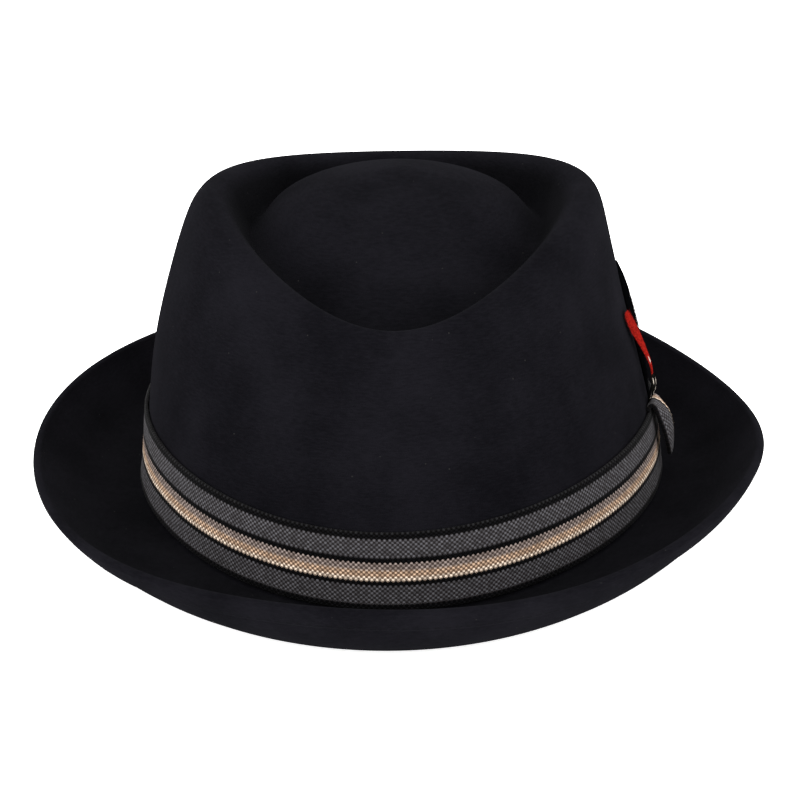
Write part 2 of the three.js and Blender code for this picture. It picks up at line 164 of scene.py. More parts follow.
rows = [brim_section(*row) for row in BRIM_ROWS]
for up, inset, front_inset, form, lean in BANDED_ROWS:
    rise = up * RIBBON_WIDTH
    rows.append(wall_section(inset, front_inset, form, lean,
                             BREAK_SIDE + rise, BREAK_FRONT + rise, BREAK_BACK + rise))
for up, front_up, inset, front_inset, form, lean in WALL_ROWS:
    rows.append(wall_section(inset, front_inset, form, lean, mix(BREAK_SIDE, CREST_SIDE, up),
                             mix(BREAK_FRONT, CREST_FRONT, front_up), mix(BREAK_BACK, CREST_BACK, up)))
for reach, front_reach, drop in TOP_ROWS:
    rows.append(top_section(reach, front_reach, 0, CREST_SETBACK, CREST_SIDE - GROOVE_SIDE * drop,
                            CREST_FRONT - GROOVE_FRONT * drop, CREST_BACK - GROOVE_BACK * drop))
for reach, front_reach, climb, setback in DOME_ROWS:
    rows.append(top_section(reach, front_reach, DOME_LEAN * setback,
                            mix(CREST_SETBACK, DOME_SETBACK, setback),
                            mix(CREST_SIDE - GROOVE_SIDE, DOME_HEIGHT, climb),
                            mix(CREST_FRONT - GROOVE_FRONT, DOME_HEIGHT, climb),
                            mix(CREST_BACK - GROOVE_BACK, DOME_HEIGHT, climb)))
sections = np.array(rows, float)
LAST = len(sections) - 1
FOOT_ROW, SHOULDER_ROW = 5, 12
print("The felt has", len(sections), "sections from rim to top")

# %% [markdown]
# ## One smooth surface through the sections
#
# A cubic B-spline runs through the rows, so the felt has no creases between them. The function takes
# whole arrays of places at once, which keeps a fine mesh quick to make. The normal comes from two
# short steps along the surface, one up the wall and one round the hat.

# %% Felt surface
STEP = 0.004


def ring_point(row, angle):
    s = dict(zip(COLUMNS, np.moveaxis(sections[row], -1, 0)))
    across = np.cos(angle)
    to_back, to_front = np.maximum(np.sin(angle), 0), np.maximum(-np.sin(angle), 0)
    x = s["width"] * across * (1 - s["pinch"] * to_front ** 2)
    y = s["back"] * to_back - s["front"] * to_front
    cos, sin = np.cos(s["turn"]), np.sin(s["turn"])
    ripple = RIPPLE * np.cos(RIPPLES * (angle - RIPPLE_TURN)) - RIM_TWIST * np.sin(2 * angle)
    height = (s["side"] + (s["nose"] - s["side"]) * to_front ** 2
              + (s["tail"] - s["side"]) * to_back ** 2 + s["roll"] * across + s["uneven"] * ripple)
    return np.stack([s["x"] + x * cos - y * sin, s["y"] + x * sin + y * cos, height], -1)


def felt_point(station, angle):
    station, angle = np.broadcast_arrays(np.asarray(station, float), np.asarray(angle, float))
    row = np.clip(np.floor(station).astype(int), 0, LAST - 1)
    t = (station - row)[..., None]

    def at(i):
        near = ring_point(np.clip(i, 0, LAST), angle)
        before = 2 * near - ring_point(np.clip(i, 0, LAST) * 0 + 1, angle)
        after = 2 * near - ring_point(np.clip(i, 0, LAST) * 0 + LAST - 1, angle)
        return np.where((i < 0)[..., None], before, np.where((i > LAST)[..., None], after, near))

    return ((1 - t) ** 3 * at(row - 1) + (3 * t ** 3 - 6 * t ** 2 + 4) * at(row)
            + (-3 * t ** 3 + 3 * t ** 2 + 3 * t + 1) * at(row + 1) + t ** 3 * at(row + 2)) / 6


def felt_normal(station, angle):
    station = np.asarray(station, float)
    up = (felt_point(np.minimum(station + STEP, LAST - STEP), angle)
          - felt_point(np.maximum(station - STEP, 0), angle))
    around = felt_point(station, angle + STEP) - felt_point(station, angle - STEP)
    normal = np.cross(around, up)
    return normal / np.maximum(np.linalg.norm(normal, axis=-1, keepdims=True), 1e-9)


wall_stations = np.linspace(FOOT_ROW, SHOULDER_ROW, 3000)
wall_heights = felt_point(wall_stations, 0.0)[:, 2] - BREAK_SIDE


def on_wall(height, along, off):
    """Places by height above the ribbon's lower edge, distance along the wall and distance out."""
    station = np.interp(RIBBON_LIFT + np.asarray(height, float), wall_heights, wall_stations)
    station, along = np.broadcast_arrays(station, np.asarray(along, float))
    angle = np.arcsin(along / (FOOT_LENGTH / 2))
    outward = np.asarray(off, float)[..., None]
    return felt_point(station, angle) + felt_normal(station, angle) * outward


print("The top stands", round(float(felt_point(LAST, 0.0)[2]), 1), "mm high")

# %% [markdown]
# ## A helper that turns grids into pieces
#
# Every piece here is a grid of points: rings one way, places round each ring the other. The helper
# joins the grid with four-sided faces, which shade smoothly, and stores a flat map of distances in
# millimetres, so that woven and sewn details can be drawn at their real size.

# %% Grid helper
def grid_faces(count_rows, count_columns, closed):
    steps = count_columns if closed else count_columns - 1
    i, j = np.meshgrid(np.arange(count_rows - 1), np.arange(steps), indexing="ij")
    i, j = i.ravel(), j.ravel()
    corners = [(i, j), (i, j + 1), (i + 1, j + 1), (i + 1, j)]
    vertex = np.stack([a * count_columns + b % count_columns for a, b in corners], -1)
    flat = np.stack([a * (count_columns + 1) + b for a, b in corners], -1)
    return vertex, flat


def ring_lengths(ring):
    """How far each point of a closed ring is from its first, along the ring."""
    steps = np.linalg.norm(np.diff(ring, axis=0, append=ring[:1]), axis=-1)
    return np.concatenate([[0], np.cumsum(steps)])


def make_piece(name, points, faces, flat_map=None, flat_faces=None, material=None):
    mesh = bpy.data.meshes.new(name)
    places = (np.asarray(points, float) * MM).tolist()
    mesh.from_pydata(places, [], [list(map(int, f)) for f in faces])
    if flat_map is not None:
        layer = mesh.uv_layers.new(name="UVMap")
        order = np.concatenate([np.asarray(f, int) for f in flat_faces])
        layer.data.foreach_set("uv", np.asarray(flat_map, np.float32)[order].ravel())
    mesh.polygons.foreach_set("use_smooth", np.ones(len(mesh.polygons), bool))
    mesh.update()
    piece = bpy.data.objects.new(name, mesh)
    bpy.context.scene.collection.objects.link(piece)
    if material is not None:
        mesh.materials.append(material)
    print(name, "has", len(mesh.vertices), "points and", len(mesh.polygons), "faces")
    return piece


# %% [markdown]
# ## Shader maths as plain expressions
#
# Node trees are easier to read as sums. This small class holds one socket, and adding or multiplying
# two of them makes the Math node. Anything that isn't plain arithmetic comes from its one method.

# %% Shader threads
class Thread:
    """A socket of a material that can be used in sums."""

    def __init__(self, tree, socket=None):
        self.tree = tree
        self.socket = socket

    def node(self, kind, settings=None, inputs=None, out=0):
        made = self.tree.nodes.new(kind)
        for name, value in (settings or {}).items():
            if name == "stops":
                ramp = made.color_ramp
                while len(ramp.elements) > 1:
                    ramp.elements.remove(ramp.elements[-1])
                ramp.elements[0].position, ramp.elements[0].color = value[0]
                for position, colour in value[1:]:
                    ramp.elements.new(position).color = colour
            else:
                setattr(made, name, value)
        for key, value in (inputs or {}).items():
            if isinstance(value, Thread):
                self.tree.links.new(value.socket, made.inputs[key])
            else:
                made.inputs[key].default_value = value
        return Thread(self.tree, made.outputs[out])

    def maths(self, operation, *others):
        values = dict(enumerate((self, *others)))
        return self.node("ShaderNodeMath", {"operation": operation}, values)

    def __add__(self, other):
        return self.maths("ADD", other)

    def __radd__(self, other):
        return self.maths("ADD", other)

    def __sub__(self, other):
        return self.maths("SUBTRACT", other)

    def __rsub__(self, other):
        return self.node("ShaderNodeMath", {"operation": "SUBTRACT"}, {0: other, 1: self})

    def __mul__(self, other):
        return self.maths("MULTIPLY", other)

    def __rmul__(self, other):
        return self.maths("MULTIPLY", other)

    def split(self):
        """The first two coordinates of a place, each as its own thread."""
        first = self.node("ShaderNodeSeparateXYZ", {}, {0: self})
        return first, Thread(self.tree, first.socket.node.outputs[1])

    def step(self, low, high):
        """0 below low, 1 above high and smooth between."""
        return self.node("ShaderNodeMapRange", {"interpolation_type": "SMOOTHSTEP"},
                         {"Value": self, "From Min": low, "From Max": high})

    def tint(self, dark, light):
        """A colour from dark, at 0, to light, at 1. Each end is a colour or a socket."""
        ends = {6: dark if isinstance(dark, Thread) else (*dark, 1),
                7: light if isinstance(light, Thread) else (*light, 1)}
        return self.node("ShaderNodeMix", {"data_type": "RGBA"}, {0: self, **ends}, out=2)


def new_finish(name, **constants):
    """A material with its shader's steady values set on the sockets themselves."""
    material = bpy.data.materials.new(name)
    material.use_nodes = True
    shader = material.node_tree.nodes["Principled BSDF"]
    for key, value in constants.items():
        shader.inputs[key.replace("_", " ").title().replace("Ior", "IOR")].default_value = value
    return material, Thread(material.node_tree), shader


def feed(thread, shader, key):
    thread.tree.links.new(thread.socket, shader.inputs[key])


# %% [markdown]
# ## Brushed felt
#
# Felt is matted wool with its nap brushed round the crown. It has no gloss, so its specular level
# is nil, but the raised fibres catch light at the edges of the shape, which the sheen layer gives.
# Three noises do the rest: a fine one for single fibres, one drawn out along the brushing, and a
# broad one for the cloudy unevenness of the dye. The folds, the brim's channel and the groove round
# the dome, are painted darker as shade, and an attribute of the mesh says where. A few specks of
# pale lint cling to the nap, and a row of small stitches marks where the welt is sewn down.

# %% Felt finish
STITCH_LENGTH, STITCH_INSET = 3.2, 0.7
OPEN_FELT = (0.0026, 0.0025, 0.0033), (0.0062, 0.0059, 0.0077)
# Painted shade: the felt's colours darkened for the folds, the brim's channel and the groove.
SHADED_FOLD_FELT = (0.0014, 0.0014, 0.0017), (0.0032, 0.0031, 0.0038)
LINT, THREAD = (0.016, 0.0155, 0.015), (0.0035, 0.0035, 0.004)


def felt_finish():
    material, start, shader = new_finish("brushed_felt", roughness=0.96, sheen_weight=0.012,
                                         sheen_roughness=0.5, specular_ior_level=0.0)
    shader.inputs["Sheen Tint"].default_value = (0.55, 0.56, 0.6, 1)
    place = start.node("ShaderNodeTexCoord", out="Object")
    brushed_place = start.node("ShaderNodeMapping", {}, {"Vector": place, "Scale": (420, 420, 1900)})
    fibres = start.node("ShaderNodeTexNoise", {}, {"Vector": place, "Scale": 2100.0, "Detail": 4.0,
                                                   "Roughness": 0.7})
    brushed = start.node("ShaderNodeTexNoise", {}, {"Vector": brushed_place, "Scale": 1.0,
                                                    "Detail": 3.0})
    clouds = start.node("ShaderNodeTexNoise", {}, {"Vector": place, "Scale": 38.0, "Detail": 3.0})
    lint = start.node("ShaderNodeTexVoronoi", {"feature": "F1"}, {"Vector": place, "Scale": 150.0})
    pressed = start.node("ShaderNodeAttribute", {"attribute_name": "pressed"}, out="Fac")
    around, across = start.node("ShaderNodeTexCoord", out="UV").split()
    dash = (around * (2 * math.pi / STITCH_LENGTH)).maths("SINE").step(-0.5, 0.1)
    line = 1 - (across + (WELT_WIDTH - STITCH_INSET)).maths("ABSOLUTE").step(0.12, 0.4)
    stitch = dash * line
    shade = clouds * 0.5 + brushed * 0.3 + fibres * 0.2
    dyed = shade.step(0.3, 0.7)
    # The folds take the darker colours here, as painted shade.
    felt_with_fold_shade = pressed.tint(dyed.tint(*OPEN_FELT), dyed.tint(*SHADED_FOLD_FELT))
    colour = (1 - lint.step(0.024, 0.042)).tint(felt_with_fold_shade, LINT)
    feed((stitch * 0.5).tint(colour, THREAD), shader, "Base Color")
    height = fibres * 0.6 + brushed * 0.5 - stitch * 0.6
    bump = start.node("ShaderNodeBump", {}, {"Height": height, "Strength": 0.4, "Distance": 0.0003})
    feed(bump, shader, "Normal")
    return material


felt_material = felt_finish()
print("Felt finish made:", felt_material.name)

# %% [markdown]
# ## The felt body
#
# The mesh starts at the top of the crown, runs down the outside to the rim, turns round the rim's
# rolled edge and goes back up inside. The welt is the strip along the rim where the felt is turned
# under, so it is a little thicker, and it ends in a small step on the underside. The painted shade
# in the folds, the brim's channel and the groove round the dome, is weighted by their sections.

# %% Felt body
ROUND_FELT = 288
# Painted shade in the folds: stations up the felt and how much darker the colour is there.
FOLD_SHADE_STATIONS = (0.4, 1.4, 2.6, 5.0, 6.5, 14.7, 15.6, 17.2, 18.2, 19.0)
FOLD_SHADE_LEVELS = (0.0, 0.4, 0.75, 0.85, 0.0, 0.0, 1.0, 1.0, 0.3, 0.0)
felt_angles = np.linspace(0, 2 * np.pi, ROUND_FELT, endpoint=False)


def felt_body():
    outer_stations = np.concatenate([np.linspace(0, 2, 26, endpoint=False),
                                     np.linspace(2, LAST - 0.03, 112)])
    inner_stations = np.concatenate([np.linspace(0, 2, 30, endpoint=False),
                                     np.linspace(2, LAST - 0.03, 60)])
    rim_line = felt_point(0.0, felt_angles)
    rim_normal = felt_normal(0.0, felt_angles)
    outward = rim_line - felt_point(0.1, felt_angles)
    outward /= np.linalg.norm(outward, axis=-1, keepdims=True)

    def thick(points, station):
        inward = np.linalg.norm(points - rim_line[None], axis=-1)
        share = np.clip((inward - WELT_WIDTH) / 0.6, 0, 1)
        share = np.where(station[:, None] < 4, share, 1)
        return inward, mix(WELT, FELT, share * share * (3 - 2 * share))

    outer = felt_point(outer_stations[:, None], felt_angles[None])
    inside_face = felt_point(inner_stations[:, None], felt_angles[None])
    inside_normal = felt_normal(inner_stations[:, None], felt_angles[None])
    reach, depth = thick(inside_face, inner_stations)
    inner = inside_face - inside_normal * depth[..., None]
    inner[..., 2] = np.maximum(inner[..., 2], 0)
    bend = np.linspace(0, np.pi, 9)[1:-1]
    middle = rim_line - rim_normal * WELT / 2
    edge = np.stack([middle + rim_normal * np.cos(b) * WELT / 2 + outward * np.sin(b) * WELT * 0.35
                     for b in bend])
    rings = np.concatenate([outer[::-1], edge, inner])
    around = ring_lengths(rim_line)
    outside_reach = np.linalg.norm(outer - rim_line[None], axis=-1)
    v = np.concatenate([outside_reach[::-1], np.zeros(edge.shape[:2]), -reach])
    v = np.concatenate([v, v[:, :1]], axis=1)
    flat_map = np.stack([np.broadcast_to(around, v.shape), v], -1).reshape(-1, 2)
    faces, flat_faces = grid_faces(len(rings), ROUND_FELT, True)
    faces, flat_faces = [f[::-1] for f in faces], [f[::-1] for f in flat_faces]
    count = len(rings) * ROUND_FELT
    tops = [outer[-1].mean(0)[None], inner[-1].mean(0)[None]]
    points = np.concatenate([rings.reshape(-1, 3), *tops])
    end = len(flat_map)
    flat_map = np.concatenate([flat_map, [[0, 200], [0, -200]]])
    base = (len(rings) - 1) * ROUND_FELT
    for j in range(ROUND_FELT):
        k = (j + 1) % ROUND_FELT
        faces.append((j, k, count))
        flat_faces.append((end, end, end))
        faces.append((base + k, base + j, count + 1))
        flat_faces.append((end + 1, end + 1, end + 1))
    shell = make_piece("felt_shell", points, faces, flat_map, flat_faces, felt_material)
    # The painted shade in the folds is stored as a weight on each point of the outside.
    outside = np.interp(outer_stations, FOLD_SHADE_STATIONS, FOLD_SHADE_LEVELS)[::-1]
    fold_shade_per_point = np.concatenate([outside, np.zeros(len(edge) + len(inner))])
    fold_shade_per_point = np.concatenate([np.repeat(fold_shade_per_point, ROUND_FELT), [0, 0]])
    shell.data.attributes.new("pressed", "FLOAT", "POINT").data.foreach_set("value", fold_shade_per_point)
    return shell


felt_shell = felt_body()
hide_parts("felt_body")
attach(felt_shell, "root")

# %% [markdown]
# ## Woven ribbon
#
# The ribbon is a ribbed weave with three stripes: charcoal, beige and charcoal, parted and edged by
# black. Seen close, each stripe is rows of small floats, and each row is set half a float aside
# from the last. Two crossed waves make that lattice, and they push the stripes' edges up and down,
# which gives their saw-toothed borders. The yarn is heathered, so each float gets its own
# brightness from its place in the lattice. A ramp across the ribbon holds the stripes.
# The gaps between the floats get the yarn's colour darkened, as painted shade.

# %% Ribbon finish
FLOAT_LENGTH, FLOAT_ROW, WOVEN_WIDTH = 1.62, 0.76, 26.2
CHARCOAL, DARK, SELVEDGE = (0.092, 0.09, 0.098, 1), (0.0044, 0.0043, 0.005, 1), (0.013, 0.013, 0.014, 1)
CREAM, TAN = (0.92, 0.76, 0.61, 1), (0.68, 0.47, 0.325, 1)
PALE, DUSTY = (0.56, 0.43, 0.34, 1), (0.32, 0.26, 0.235, 1)
STRIPES = [  # millimetres up from the lower edge, colour
    (0, SELVEDGE), (0.35, SELVEDGE), (0.5, DARK), (2.2, DARK),
    (2.45, CHARCOAL), (8.5, CHARCOAL), (8.75, DARK), (10.0, DARK),
    (10.25, CREAM), (11.2, CREAM), (11.6, TAN), (13.3, TAN), (13.7, PALE), (14.1, DUSTY),
    (15.9, DUSTY), (16.15, DARK), (17.6, DARK), (17.85, CHARCOAL), (23.8, CHARCOAL),
    (24.05, DARK), (25.4, DARK), (25.6, SELVEDGE),
]


def ribbon_finish(name):
    material, start, shader = new_finish(name, roughness=0.85, sheen_weight=0.015,
                                         specular_ior_level=0.02)
    flat = start.node("ShaderNodeTexCoord", out="UV")
    along, across = flat.split()
    wave = (along * (2 * math.pi / FLOAT_LENGTH)).maths("COSINE")
    rows_wave = (across * (math.pi / FLOAT_ROW)).maths("COSINE")
    floats = (wave * rows_wave).step(-0.45, 0.8)
    row_place = across * (1 / FLOAT_ROW)
    row_number = row_place.maths("ROUND")
    float_place = along * (1 / FLOAT_LENGTH) + row_number * 0.5
    float_number = float_place.maths("ROUND")
    lattice = start.node("ShaderNodeCombineXYZ", {}, {0: float_number, 1: row_number})
    heather = start.node("ShaderNodeTexWhiteNoise", {"noise_dimensions": "2D"}, {"Vector": lattice})
    uneven = start.node("ShaderNodeTexNoise", {}, {"Vector": flat, "Scale": 2.4, "Detail": 3.0})
    toothed = (across + wave * 0.28) * (1 / WOVEN_WIDTH)
    yarn = start.node("ShaderNodeValToRGB", {"stops": [(p / WOVEN_WIDTH, c) for p, c in STRIPES]},
                      {0: toothed})
    # Between the floats the yarn's colour is darkened as painted shade; on the floats it is heathered.
    heather_and_float_shade = floats * (0.2 + heather * 0.8 + uneven * 0.5)
    painted_gap_shade = start.node("ShaderNodeMix", {"data_type": "RGBA", "blend_type": "MULTIPLY"},
                        {0: 1.0, 6: yarn, 7: (0.16, 0.14, 0.13, 1)}, out=2)
    colour = heather_and_float_shade.maths("MINIMUM", 1.0).tint(painted_gap_shade, yarn)
    feed(colour, shader, "Base Color")
    bump = start.node("ShaderNodeBump", {}, {"Height": floats + uneven * 0.3, "Strength": 0.55,
                                             "Distance": 0.00022})
    feed(bump, shader, "Normal")
    return material


ribbon_material = ribbon_finish("striped_ribbon")
loop_material = ribbon_finish("folded_ribbon")
print("Ribbon finishes made:", ribbon_material.name, loop_material.name)

# %% [markdown]
# ## The band
#
# The band lies on the felt all round, so its cross-section is swept along the wall. Its two edges
# are rounded, because a turned selvedge catches a thin line of light that a sharp edge wouldn't.

# %% Band
ROUND_BAND = 540


def band():
    turn = np.linspace(-np.pi / 2, np.pi / 2, 7)
    radius = RIBBON_THICK / 2
    soft = radius * 0.9 / RIBBON_WIDTH
    middle = GAP + radius
    top_turn = [(1 - soft + soft * math.cos(b), middle + radius * math.sin(b)) for b in turn[::-1]]
    low_turn = [(soft - soft * math.cos(b), middle + radius * math.sin(b)) for b in turn]
    face = [(s, GAP + RIBBON_THICK) for s in np.linspace(soft, 1 - soft, 34)[1:-1]]
    back = [(s, GAP) for s in np.linspace(1 - soft, soft, 8)[1:-1]]
    profile = np.array(low_turn + face + top_turn + back)
    angles = np.linspace(0, 2 * np.pi, ROUND_BAND, endpoint=False)
    heights = RIBBON_LIFT + profile[:, 0] * RIBBON_WIDTH
    station = np.interp(heights, wall_heights, wall_stations)[:, None]
    wobble = 0.05 * np.sin(angles * 11 + 1.3) + 0.04 * np.sin(angles * 23 + 0.4)
    off = profile[:, 1][:, None] + np.where(profile[:, 1] > middle, 1, 0)[:, None] * wobble[None]
    points = felt_point(station, angles[None]) + felt_normal(station, angles[None]) * off[..., None]
    ring = felt_point(np.median(station), angles)
    around = ring_lengths(ring)
    whole = round(around[-1] / FLOAT_LENGTH) * FLOAT_LENGTH
    around *= whole / around[-1]
    points = np.concatenate([points, points[:1]])
    v = np.concatenate([profile[:, 0], profile[:1, 0]]) * WOVEN_WIDTH
    flat_map = np.stack(np.meshgrid(around, v), -1).reshape(-1, 2)
    faces, flat_faces = grid_faces(len(points), ROUND_BAND, True)
    return make_piece("ribbon_band", points.reshape(-1, 3), faces, flat_map, flat_faces,
                      ribbon_material)


ribbon_band = band()
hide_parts("hat_band")
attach(ribbon_band, "root")

# %% [markdown]
# ## The folded loop
#
# The loop is a piece of the same ribbon folded over the band's top edge. It is pinched where it is
# tucked in and spreads as it comes down, with its middle bowed out from the band. The rows give its
# middle line from the hidden end at the felt, over the band's edge and the fold, to the hem: the
# height as a share of the ribbon's width, the distance out in ribbon thicknesses, the bow, the width
# and how far it stands forward. The gathered loop is narrower than the ribbon, so only part of the
# woven width, LOOP_SPAN, runs across it, which keeps the floats at their real size.

# %% Loop
LOOP_WIDTH, LOOP_CENTRE, LOOP_BULGE = 26.0, -5.5, 2.1
LOOP_START, LOOP_SPAN = 2.3, 14.0
FLAT_SHARE, ROUND_SHARE = 0.957, 0.045
LOOP_ROWS = np.array([  # up, off, bow, wide, forward
    (1.0, 0.45, 0, 0.4, 0.16), (1.05, 0.8, 0, 0.42, 0.15), (1.07, 1.5, 0.05, 0.42, 0.14),
    (1.06, 2.1, 0.1, 0.42, 0.14), (1.0, 2.6, 0.5, 0.45, 0.12),
    (0.88, 3.0, 1, 0.52, 0.08), (0.72, 3.7, 0.8, 0.6, 0.03), (0.56, 4.1, 0.5, 0.62, 0),
    (0.39, 4.3, 0.1, 0.55, 0),
])


def smooth_rows(table, count):
    """A smooth line through the rows, with its points spread evenly from row to row."""
    ends = np.concatenate([[2 * table[0] - table[1]], table, [2 * table[-1] - table[-2]]])
    out = []
    for place in np.linspace(0, len(table) - 1, count):
        i = min(int(place), len(table) - 2)
        t = place - i
        a, b, c, d = ends[i:i + 4]
        out.append(0.5 * (2 * b + (c - a) * t + (2 * a - 5 * b + 4 * c - d) * t ** 2
                          + (3 * b - a - 3 * c + d) * t ** 3))
    return np.array(out)


def loop():
    scaled = LOOP_ROWS * [RIBBON_WIDTH, RIBBON_THICK, LOOP_BULGE, LOOP_WIDTH / 2 * FLAT_SHARE,
                          LOOP_WIDTH]
    line = smooth_rows(scaled, 64)
    slope = np.gradient(line[:, :2], axis=0)
    side = np.stack([slope[:, 1], -slope[:, 0]], -1)
    side /= np.linalg.norm(side, axis=-1, keepdims=True)
    shares = np.linspace(-1, 1, 33)
    half = RIBBON_THICK / 2
    turn = np.linspace(np.pi / 2, -np.pi / 2, 6)
    profile = ([(s, 1) for s in shares[::-1]]
               + [(-1 - ROUND_SHARE * math.cos(b), math.sin(b)) for b in turn[1:-1]]
               + [(s, -1) for s in shares]
               + [(1 + ROUND_SHARE * math.cos(b), math.sin(b)) for b in turn[::-1][1:-1]])
    profile = np.array(profile)
    share, sign = profile[:, 0][None], profile[:, 1][None]
    along = LOOP_CENTRE - line[:, 4][:, None] + share * line[:, 3][:, None]
    height = line[:, 0][:, None] + sign * side[:, 0][:, None] * half
    bowed = line[:, 2][:, None] * (1 - np.minimum(share ** 2, 1))
    off = line[:, 1][:, None] + bowed + sign * side[:, 1][:, None] * half
    points = on_wall(height, along, off)
    length = np.concatenate([[0], np.cumsum(np.linalg.norm(np.diff(line[:, :2], axis=0), axis=-1))])
    v = np.broadcast_to(LOOP_START + LOOP_SPAN * (share * 0.5 + 0.5), along.shape)
    v = np.concatenate([v, v[:, :1]], axis=1)
    flat_map = np.stack([np.broadcast_to(length[:, None], v.shape), v], -1)
    faces, flat_faces = grid_faces(len(points), points.shape[1], True)
    faces, flat_faces = list(faces), list(flat_faces)
    size = points.shape[1]
    faces.append(list(range(size))[::-1])
    flat_faces.append(list(range(size))[::-1])
    tail = (len(points) - 1) * size
    faces.append([tail + j for j in range(size)])
    flat_faces.append([(len(points) - 1) * (size + 1) + j for j in range(size)])
    return make_piece("ribbon_loop", points.reshape(-1, 3), faces, flat_map.reshape(-1, 2),
                      flat_faces, loop_material)


ribbon_loop = loop()
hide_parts("band_loop")
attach(ribbon_loop, "root")

# %% [markdown]
# ## Feathers
#
# A feather is a tapering shaft with a row of fine barbs on each side. A flat blade with a picture
# would do from afar, but here every barb is its own thin strip that leaves the shaft at a slant and
# curls towards the tip. Small seeded differences in length and angle part them here and there. A
# thin domed vane under the barbs keeps the background from showing between them. Pale marks are
# drawn as small ovals at named places, and a dark quill can be told by its length.
# The pale oval on the red quill is partly the quill's own paleness and partly a painted highlight.

# %% Feather finish
# The pale colour serves the real speckles and the red quill's oval, which is partly a painted highlight.
PALE_MARK_AND_GLINT, DARK_QUILL = (0.5, 0.44, 0.38), (0.003, 0.0025, 0.0025)


def feather_finish(name, dark, light, marks_and_glint=(), quill=0.0):
    material, start, shader = new_finish(name, roughness=0.7, specular_ior_level=0.0)
    flat = start.node("ShaderNodeTexCoord", out="UV")
    across, along = flat.split()
    streak = start.node("ShaderNodeTexNoise", {}, {"Vector": flat, "Scale": 1.4, "Detail": 3.0})
    colour = streak.step(0.3, 0.7).tint(dark, light)
    for beside, up, wide, tall in marks_and_glint:
        aside, above = (across - beside) * (2 / wide), (along - up) * (2 / tall)
        outside = (aside * aside + above * above).step(0.5, 1.3)
        colour = (1 - outside).tint(colour, PALE_MARK_AND_GLINT)
    if quill:
        colour = along.step(quill, quill + 1.5).tint(DARK_QUILL, colour)
    feed(colour, shader, "Base Color")
    feed(start.node("ShaderNodeBump", {}, {"Height": streak, "Strength": 0.3, "Distance": 0.0001}),
         shader, "Normal")
    return material


# %% [markdown]
# The feathers' middle lines are told along the wall, from where their quills are tucked behind the
# loop. The columns are the share of the length, the place along the wall as a share of the loop's
# width, the distance out as a share of the ribbon's thickness, the width, and the blade's turn.
# The vane is puffed outwards by a share of its width, and its under side is sunk towards the felt.

# %% Feather makers
def smoothly(row_table, at):
    return np.stack([np.interp(at, row_table[:, 0], row_table[:, c]) for c in range(1, 5)], -1)


def feather(name, row_table, length, width, puff, sink, barbs, material, seed):
    rng = np.random.default_rng(seed)
    dense = smooth_rows(row_table, 80)
    dense[:, 0] = np.maximum.accumulate(dense[:, 0])

    def place(at, across, thick):
        along_share, off_share, _, twist = np.moveaxis(smoothly(dense, np.clip(at, 0, 1)), -1, 0)
        turn = np.radians(twist)
        along = LOOP_CENTRE + along_share * LOOP_WIDTH + across * np.cos(turn) - thick * np.sin(turn)
        off = off_share * RIBBON_THICK + across * np.sin(turn) + thick * np.cos(turn)
        return on_wall(RIBBON_WIDTH + GAP + at * length, along, off)

    points, faces, flats = [], [], []

    def strip(grid, flat):
        start = sum(len(p) for p in points)
        count, wide = grid.shape[:2]
        points.append(grid.reshape(-1, 3))
        flats.append(flat.reshape(-1, 2))
        for i in range(count - 1):
            for j in range(wide - 1):
                a = start + i * wide + j
                faces.append((a, a + 1, a + wide + 1, a + wide))

    spine = np.linspace(0, 0.97, 40)
    bend = np.linspace(0, 2 * np.pi, 9)
    radius = mix(0.38, 0.08, spine)[:, None]
    shaft_at = spine[:, None] + 0 * bend[None]
    shaft = place(shaft_at, radius * np.cos(bend)[None], radius * np.sin(bend)[None])
    strip(shaft, np.stack([0 * shaft_at, shaft_at * length], -1))
    vane_half = smoothly(dense, spine)[:, 2][:, None] * width * 0.43
    upper, under = np.maximum(np.sin(bend), 0), np.minimum(np.sin(bend), 0)
    vane_across = vane_half * np.cos(bend)[None]
    vane_lift = puff * upper[None] * vane_half / width + sink * under[None]
    vane = place(spine[:, None], vane_across, vane_lift)
    strip(vane, np.stack([vane_across, shaft_at * length], -1))
    for k in range(barbs):
        root = mix(0.12, 0.95, (k + rng.uniform(-0.3, 0.3)) / (barbs - 1))
        half = smoothly(dense, np.clip(root + 0.05, 0, 1))[2] * width / 2
        for hand in (-1, 1):
            reach = half * rng.uniform(0.86, 1.08)
            lean = rng.uniform(0.9, 1.15) * (0.55 + 0.35 * root)
            t = np.linspace(0, 1, 6)
            across = hand * reach * (t ** 0.9)
            forward = reach * lean * (0.5 * t + 0.6 * t ** 2) / length
            lift = puff * half / width * (1 - t ** 2) + 0.1 * np.sin(t * np.pi)
            lift += rng.uniform(0, 0.08)
            thin = 0.16 * (1 - 0.75 * t)
            edges = []
            for sign in (-1, 1):
                beside = np.clip(root + forward + sign * thin / length, 0, 1)
                edges.append(place(beside, across, lift))
            grid = np.stack(edges, 1)
            flat = np.stack([across, (root + forward) * length], -1)
            strip(grid, np.stack([flat, flat], 1))
    points = np.concatenate(points)
    return make_piece(name, points, faces, np.concatenate(flats), faces, material)


